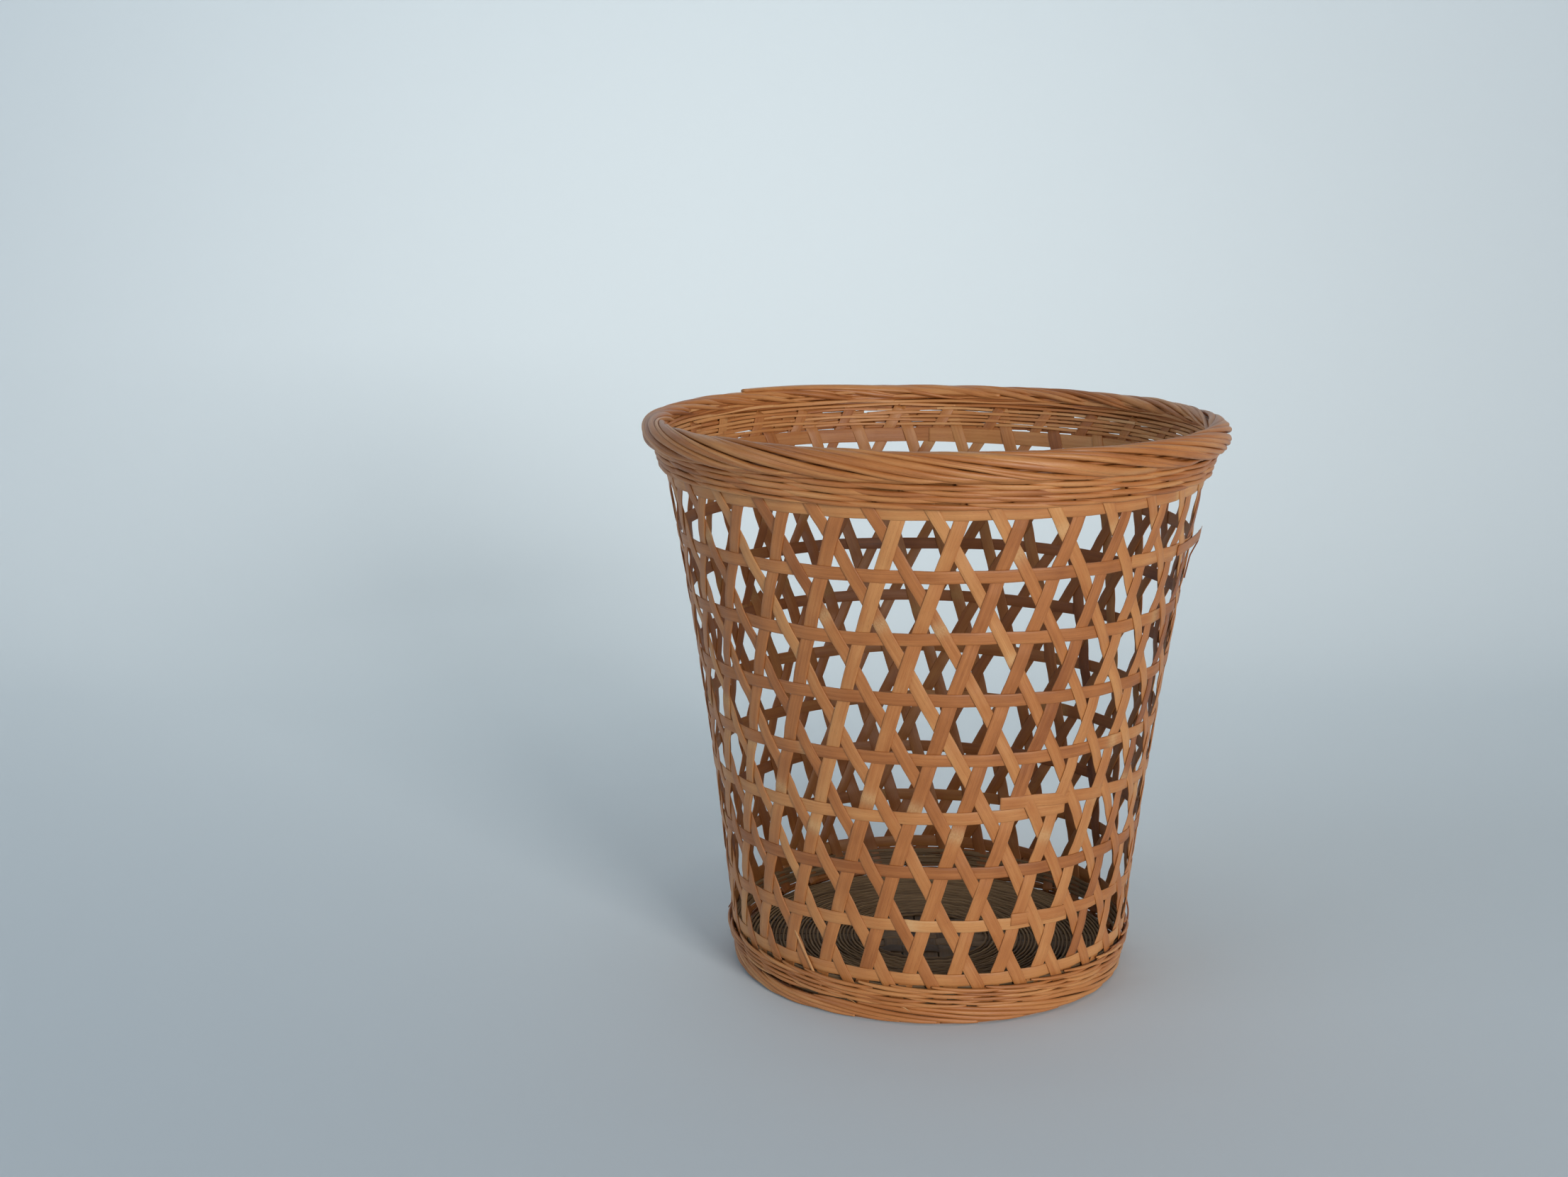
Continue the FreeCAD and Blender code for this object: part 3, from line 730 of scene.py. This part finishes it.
def make_rim_core():
    """The bundle of splits that the border is wrapped round."""
    weave = Weave(draws("rim core"))
    angle = np.linspace(0, 360, 361)
    tube = CORE_TUBE / CORE_SPREAD
    for member in range(CORE_MEMBERS):
        turn = member * 360 / CORE_MEMBERS + angle * CORE_TWISTS
        points, normals = round_core(angle, turn, 2 * tube)
        weave.add(points, normals, 2.1 * tube, 2.1 * tube, section=OVAL, tone=CORE_TONE)
    points, normals = round_core(angle, np.full(len(angle), 90.0), 0.0)
    weave.add(points, normals, 2 * tube, 2 * tube, section=OVAL, tone=CORE_TONE)
    weave.piece("rim_core_splits", rim_bamboo, "border_splits", "rim_core")


def bundle_path(draw, start, lane, orbit):
    """From inside the rim, over its top, down its outside and in under it. The third result
    counts from 0 to 1 over the rim, and on to 2 along the tail."""
    share = np.linspace(0, 1, 80)
    reach = BUNDLE_REACH * (1 + 0.04 * draw.normal())
    angle = start + reach * share
    arc = np.radians(angle) * RIM_RADIUS
    turn = BUNDLE_FROM + 5 * draw.normal() * (1 - share) + (BUNDLE_TO - BUNDLE_FROM) * share
    turn += math.degrees(lane / BUNDLE_ORBIT) * (1 - 0.35 * smooth((share - 0.8) / 0.2))
    tucked = BUNDLE_TUCK * (1 - smooth(share / BUNDLE_START))
    points, normals = round_core(angle, turn, orbit - tucked + 0.18 * waver(draw, arc, 60))
    tail = np.linspace(0, 1, TAIL_POINTS)[1:]
    tail_points, tail_normals = bundle_tail(angle[-1], points[-1], normals[-1], tail)
    whole = np.concatenate([share, 1 + tail])
    return np.concatenate([points, tail_points]), np.concatenate([normals, tail_normals]), whole


def bundle_tail(angle, point, normal, share):
    """Runs on from a bundle's last point, down and in under the rim."""
    angles = angle + TAIL_REACH * share
    radius = math.hypot(point[0], point[1]) - TAIL_TUCK * smooth(share)
    height = point[2] - TAIL_DROP * smooth(share * 0.8)
    outwards = normal @ around(np.array([angle]), 1.0, 0.0)[0]
    lean = normal[2] / outwards * (1 - 0.7 * smooth(share * 2))
    normals = around(angles, np.ones(len(share)), lean)
    normals /= np.linalg.norm(normals, axis=1)[:, None]
    return around(angles, radius, height), normals


def add_bundle(weave, start):
    """One bundle: a broad strand, or two side by side, even or uneven."""
    draw = weave.draw
    lanes = BUNDLE_LANES[draw.integers(len(BUNDLE_LANES))]
    for lane, width in lanes:
        orbit = BUNDLE_ORBIT + 0.15 * draw.normal()
        path, normals, share = bundle_path(draw, start, lane, orbit)
        distance = along(path)
        slim = 1 - BUNDLE_SLIM * (1 - smooth(share / BUNDLE_START))
        fading = smooth((share - 0.9) / 0.9)
        wide = width * (1 + 0.06 * waver(draw, distance, 60)) * (1 - 0.6 * fading) * slim
        thick = STRAND_THICKNESS * (1 - 0.5 * fading) * slim
        tone = STRAND_TONE + draw.normal(0, 0.06) + 0.05 * waver(draw, distance, 90)
        roll = (3 * waver(draw, distance, 50) - 3) * smooth(share / 0.3)
        weave.add(path, normals, wide, thick, section=OVAL, tone=tone, roll=roll)


def add_proud_end(weave):
    """One strand's end was cut short at the back and stands proud of the rim."""
    share = np.linspace(0, 1, 60)
    angle = 160 + 64 * share
    orbit = BUNDLE_ORBIT - 0.6 + 2.4 * smooth(share * 1.3)
    points, normals = round_core(angle, 160 - 75 * share, orbit)
    width = 4.4 * (0.5 + 0.5 * smooth(share * 3))
    weave.add(points, normals, width, 2.3, section=OVAL, tone=0.62)


def make_pieces(name, material, node, weave, count, add_one):
    """Adds count strands or bundles, and makes each group of them one object."""
    for number in range(count):
        add_one(weave, number)
        if number % GROUP_SIZE == GROUP_SIZE - 1:
            group = number // GROUP_SIZE + 1
            weave.piece(f"{name}_{group}", material, "border_splits", f"{node}_{group}")
            weave = Weave(weave.draw)


def add_rim_bundle(weave, number):
    add_bundle(weave, number * 360 / RIM_BUNDLES + weave.draw.normal(0, 0.6))
    if number == PROUD_BUNDLE:
        add_proud_end(weave)


def make_rim():
    make_rim_core()
    weave = Weave(draws("rim bundles"))
    make_pieces("rim_border_splits", rim_bamboo, "rim_bundles", weave, RIM_BUNDLES, add_rim_bundle)


# ------------------------------------------------------------------ foot

FOOT_STRANDS = 30
FOOT_REACH = 48  # degrees round the basket that a foot strand runs
FOOT_TOP, FOOT_FALL, FOOT_LOWEST = 8.6, 7.3, 1.35  # a strand's start, how far it falls, its least height
FOOT_TONE = 0.54
LOOSE_FOOT, LOOSE_REACH = -46, 17  # where the border has sagged away from the band, and how far
LOOSE_DROP, LOOSE_OUT = 2.6, 0.9
_, RING_HIGH = node_box("foot_ring")
RING_LANES, RING_LAYERS = (-1.2, 1.2), 2
RING_SPLIT = 2.5  # width of a split in the foot ring
FOOT_RADIUS = RING_HIGH[0] + 1.2


def add_foot_strand(weave, number):
    """A strand that slants down round the foot, from the band to near the floor."""
    draw = weave.draw
    start = number * 360 / FOOT_STRANDS + draw.normal(0, 0.8)
    share = np.linspace(0, 1, 70)
    angle = start + FOOT_REACH * share
    arc = np.radians(angle) * FOOT_RADIUS
    height = FOOT_TOP - FOOT_FALL * smooth(share * 0.92) + 0.15 * waver(draw, arc, 50)
    loose = hump((angle + 180 - LOOSE_FOOT) % 360 - 180, LOOSE_REACH)
    height = np.maximum(height - LOOSE_DROP * loose * (1 - share), FOOT_LOWEST)
    radius = FOOT_RADIUS + 0.9 * np.sin(np.pi * share) + LOOSE_OUT * loose + 0.15 * waver(draw, arc, 50)
    points = around(angle, radius, height)
    normals = around(angle, np.ones(len(angle)), 0.15)
    tone = FOOT_TONE + draw.normal(0, 0.07) + 0.06 * waver(draw, arc, 80)
    width = 2.2 * (1 + 0.1 * waver(draw, arc, 50))
    roll = 6 * waver(draw, arc, 40)
    weave.add(points, normals, width, 1.7, section=OVAL, tone=tone, ends=12, roll=roll)


def make_foot():
    weave = Weave(draws("foot strands"))
    make_pieces("foot_border_splits", band_bamboo, "foot_strands", weave, FOOT_STRANDS, add_foot_strand)
    make_foot_ring()


def make_foot_ring():
    """Splits laid side by side and one over another, that the basket stands on."""
    weave = Weave(draws("foot ring"))
    angle = np.linspace(0, 360, 361)
    tall = RING_HIGH[2] / RING_LAYERS
    middle = RING_HIGH[0] - 2.4
    arc = np.radians(angle) * middle
    for layer in range(RING_LAYERS):
        for lane in RING_LANES:
            radius = middle + lane + 0.06 * waver(weave.draw, arc, 90)
            points = around(angle, radius, np.full(len(angle), tall * (layer + 0.5)))
            normals = around(angle, np.zeros(len(angle)), -1.0)
            weave.add(points, normals, RING_SPLIT, tall, tone=0.5 + 0.05 * waver(weave.draw, arc, 120))
    weave.piece("foot_ring_splits", band_bamboo, "border_splits", "foot_ring")


# ------------------------------------------------------------------ worn places low on the wall


def add_sliver(weave):
    """The edge of a left-leaning strip has split off over the band. Each station is a row of the
    wall, how many degrees the sliver lies beside the strip's middle there, and how far out."""
    start = FIRST_LEFT - 4 * PITCH
    stations = ((0.62, 1.25, 0.45), (0.35, 1.45, 0.6), (0.05, 1.7, 0.9), (-0.2, 2.1, 1.5), (-0.42, 2.6, 2.3))
    path, normals = bent_path([
        (start + (LEAN - PITCH) * row + apart, row_height(row), out) for row, apart, out in stations
    ])
    weave.add(path, normals, 1.3, 0.6, tone=0.72, ends=6)


def add_loop(weave):
    """A thin split at the right-hand side has sprung out of the band."""
    path, normals = bent_path([(87, 33, 0.8), (87, 29, 1.4), (87, 23, 3.2), (85, 16, 3.4), (82, 9, 1.8)])
    weave.add(path, normals, 1.1, 0.8, section=OVAL, tone=0.25)


def add_frayed_ends(weave, first, last, low, high, count):
    """Short ends of fibres that stand out of a band, between two angles and two heights."""
    draw = weave.draw
    for _ in range(count):
        angle, height = draw.uniform(first, last), draw.uniform(low, high)
        run, rise, out = draw.uniform(2, 5), draw.uniform(-1.5, 2.0), draw.uniform(0.6, 2.0)
        middle = (angle + run * 0.5, height + rise * 0.3, 2.0)
        tip = (angle + run, height + rise, 1.8 + out)
        path, normals = bent_path([(angle, height, 1.6), middle, tip], count=16)
        width = draw.uniform(0.4, 0.9)
        weave.add(path, normals, width, 0.35, section=OVAL, tone=draw.uniform(0.4, 0.9), ends=3)


def make_worn_places():
    weave = Weave(draws("worn places"))
    add_sliver(weave)
    add_loop(weave)
    add_frayed_ends(weave, -100, -50, 8, 26, 12)
    add_frayed_ends(weave, 50, 100, 8, 22, 7)
    add_frayed_ends(weave, -50, 50, 9, 18, 8)
    add_frayed_ends(weave, 100, 260, 9, 20, 12)
    weave.piece("worn_ends_low", band_bamboo, "binding_splits")


# ------------------------------------------------------------------ base

_, BASE_HIGH = node_box("base_strips_across")
BASE_RADIUS = BASE_HIGH[0]
BASE_LEVEL = BASE_HIGH[2] + LAYER / 2 - SPLIT / 2
SPOKES = 60
# The spokes get a very dark tone: painted shade in the gaps between the rings.
SPOKE_THICKNESS, SPOKE_SHADE_TONE = 0.5, 0.2
RINGS_FROM, RING_PITCH = 30.5, 1.95  # radius of the first ring, and how far apart they are
RING_WIDTH, RING_HEIGHT, RING_TONE = 1.05, 1.4, 0.85
RING_WAVE = 0.14  # how far a ring rises over one spoke and sinks on to the next
RING_LAP = 12  # degrees that a ring runs on over its own start
BASE_STRIPS = 5
BASE_PITCH, BASE_WIDTH, BASE_THICKNESS = 9.0, 8.2, SPLIT * 0.9
BASE_TONE = 0.5
PLAIT_RISE = 0.5  # how far a strip of the base rises and falls in the plaited middle
UNDER_RINGS = 0.95  # how far under the base's middle the spokes and the strips pass the rings


def upwards(path):
    """A normal straight up for each point of a path."""
    return np.tile([0.0, 0.0, 1.0], (len(path), 1))


def base_strip_path(number, along_x, draw):
    """A broad split across the base, woven with those that cross it in the middle."""
    offset = (number - (BASE_STRIPS - 1) / 2) * BASE_PITCH
    half = math.sqrt(BASE_RADIUS**2 - (abs(offset) + BASE_PITCH / 2) ** 2)
    run = np.linspace(-half, half, 160)
    crossing = np.cos(np.pi * run / BASE_PITCH) * (-1) ** number * (1 if along_x else -1)
    woven = smooth((BASE_PITCH * BASE_STRIPS / 2 + 4 - np.abs(run)) / 8)
    level = BASE_LEVEL + PLAIT_RISE * crossing * woven - UNDER_RINGS * (1 - woven)
    side = np.full(len(run), offset) + 0.25 * waver(draw, run, 60)
    path = np.stack([run, side, level] if along_x else [side, run, level], axis=-1)
    return path, upwards(path)


def make_base_strips():
    for name, along_x in (("base_strips_across", True), ("base_strips_along", False)):
        draw = draws(name)
        weave = Weave(draw)
        for number in range(BASE_STRIPS):
            path, normals = base_strip_path(number, along_x, draw)
            width = BASE_WIDTH * (1 + 0.03 * waver(draw, path[:, 0] + path[:, 1], 60))
            weave.add(path, normals, width, BASE_THICKNESS, tone=BASE_TONE + draw.normal(0, 0.13))
        weave.piece(f"{name}_splits", base_bamboo, "base_splits", name)


def add_spokes(weave):
    """Fine splits that run from the plaited middle out to the wall."""
    draw = weave.draw
    for number in range(SPOKES):
        angle = number * 360 / SPOKES + draw.normal(0, 0.5)
        radius = np.linspace(RINGS_FROM - 3, BASE_RADIUS + 2.0, 24)
        level = BASE_LEVEL - UNDER_RINGS + 0.05 * waver(draw, radius, 20)
        path = around(np.full(len(radius), angle), radius, level)
        weave.add(path, upwards(path), 1.6 + radius * 0.02, SPOKE_THICKNESS, tone=SPOKE_SHADE_TONE)


def add_base_ring(weave, radius, parity):
    """A thin split that lies on the spokes, and rises over every second one."""
    draw = weave.draw
    start = draw.uniform(0, 360)
    angle = np.linspace(start, start + 360 + RING_LAP, 384)
    arc = np.radians(angle) * radius
    wave = np.cos(np.radians(angle) * SPOKES / 2) * (1 if parity else -1)
    level = BASE_LEVEL + RING_WAVE * wave + 0.05 * waver(draw, arc, 50)
    reach = radius + 0.22 * waver(draw, arc, 90) + 0.12 * (angle - start) / 360
    path = around(angle, reach, level)
    wide = RING_WIDTH * (1 + 0.12 * waver(draw, arc, 60))
    tone = RING_TONE + draw.normal(0, 0.12) + 0.08 * waver(draw, arc, 90)
    weave.add(path, upwards(path), wide, RING_HEIGHT, section=OVAL, tone=tone, ends=8)


def make_base():
    make_base_strips()
    above = Weave(draws("rings above"))
    below = Weave(draws("rings below"))
    add_spokes(below)
    for number in range(int((BASE_RADIUS - RINGS_FROM) / RING_PITCH) + 2):
        add_base_ring(above if number % 2 else below, RINGS_FROM + number * RING_PITCH, number % 2)
    above.piece("base_ring_splits_above", base_bamboo, "base_splits", "base_rings_above")
    below.piece("base_ring_splits_below", base_bamboo, "base_splits", "base_rings_below")


# ------------------------------------------------------------------ stage, light and camera

CAMERA_PLACE = (-0.0730, -0.9835, 0.3912)
CAMERA_PITCH = 11.66  # degrees below level
CAMERA_LENS, CAMERA_SENSOR = 46.6, 36.0
FLOOR_FRONT, FLOOR_BACK = -4.0, 0.50  # the flat part of the floor, from front to back
BEND_RADIUS, WALL_TOP, HALF_WIDTH = 0.6, 3.2, 5.0
PAPER_COLOUR = (0.71, 0.775, 0.815, 1.0)
ROOM_COLOUR, ROOM_STRENGTH = (0.76, 0.87, 1.0, 1.0), 0.2


def make_stage():
    """A pale floor that curves up behind the basket."""
    outline = [(FLOOR_FRONT, 0.0)]
    for turn in range(0, 91, 5):
        back = FLOOR_BACK + BEND_RADIUS * math.sin(math.radians(turn))
        outline.append((back, BEND_RADIUS - BEND_RADIUS * math.cos(math.radians(turn))))
    outline.append((FLOOR_BACK + BEND_RADIUS, WALL_TOP))
    points = [(side * HALF_WIDTH, y, z) for y, z in outline for side in (-1, 1)]
    faces = [(2 * i, 2 * i + 1, 2 * i + 3, 2 * i + 2) for i in range(len(outline) - 1)]
    mesh = bpy.data.meshes.new("floor")
    mesh.from_pydata(points, [], faces)
    mesh.polygons.foreach_set("use_smooth", [True] * len(mesh.polygons))
    floor = bpy.data.objects.new("floor", mesh)
    bpy.context.scene.collection.objects.link(floor)
    paper = Nodes("pale_paper")
    paper.shader.inputs["Base Color"].default_value = PAPER_COLOUR
    paper.shader.inputs["Roughness"].default_value = 0.9
    mesh.materials.append(paper.material)


def add_light(name, place, target, size, energy, colour, spread):
    """A square lamp that the camera doesn't see. spread is in degrees."""
    data = bpy.data.lights.new(name, "AREA")
    data.shape = "SQUARE"
    data.size = size
    data.energy = energy
    data.color = colour
    data.spread = math.radians(spread)
    light = bpy.data.objects.new(name, data)
    light.location = place
    light.rotation_euler = (Vector(target) - Vector(place)).to_track_quat("-Z", "Y").to_euler()
    light.visible_camera = False
    bpy.context.scene.collection.objects.link(light)


def make_light():
    """A window in front to the right, low and soft, what the room gives back, and the light on
    the paper behind."""
    add_light("window", (1.45, -2.9, 0.92), (0, 0, 0.16), 1.0, 66, (1.0, 0.98, 0.94), 180)
    add_light("room", (-2.2, -1.1, 0.9), (0, 0, 0.14), 1.5, 12.5, (0.74, 0.88, 1.0), 180)
    add_light("backdrop", (-0.25, 0.35, 2.0), (-0.15, 1.2, 0.3), 0.9, 3.0, (1.0, 0.98, 0.9), 75)
    world = bpy.data.worlds.new("studio")
    bpy.context.scene.world = world
    world.use_nodes = True
    background = world.node_tree.nodes["Background"]
    background.inputs["Color"].default_value = ROOM_COLOUR
    background.inputs["Strength"].default_value = ROOM_STRENGTH


def make_camera():
    data = bpy.data.cameras.new("camera")
    data.lens = CAMERA_LENS
    data.sensor_width = CAMERA_SENSOR
    camera = bpy.data.objects.new("camera", data)
    camera.location = CAMERA_PLACE
    camera.rotation_euler = (math.radians(90 - CAMERA_PITCH), 0, 0)
    bpy.context.scene.collection.objects.link(camera)
    bpy.context.scene.camera = camera


make_strips()
make_hoops()
make_rows()
make_rim()
make_foot()
make_worn_places()
make_base()
make_stage()
make_light()
make_camera()
bpy.context.scene.view_settings.view_transform = "Standard"
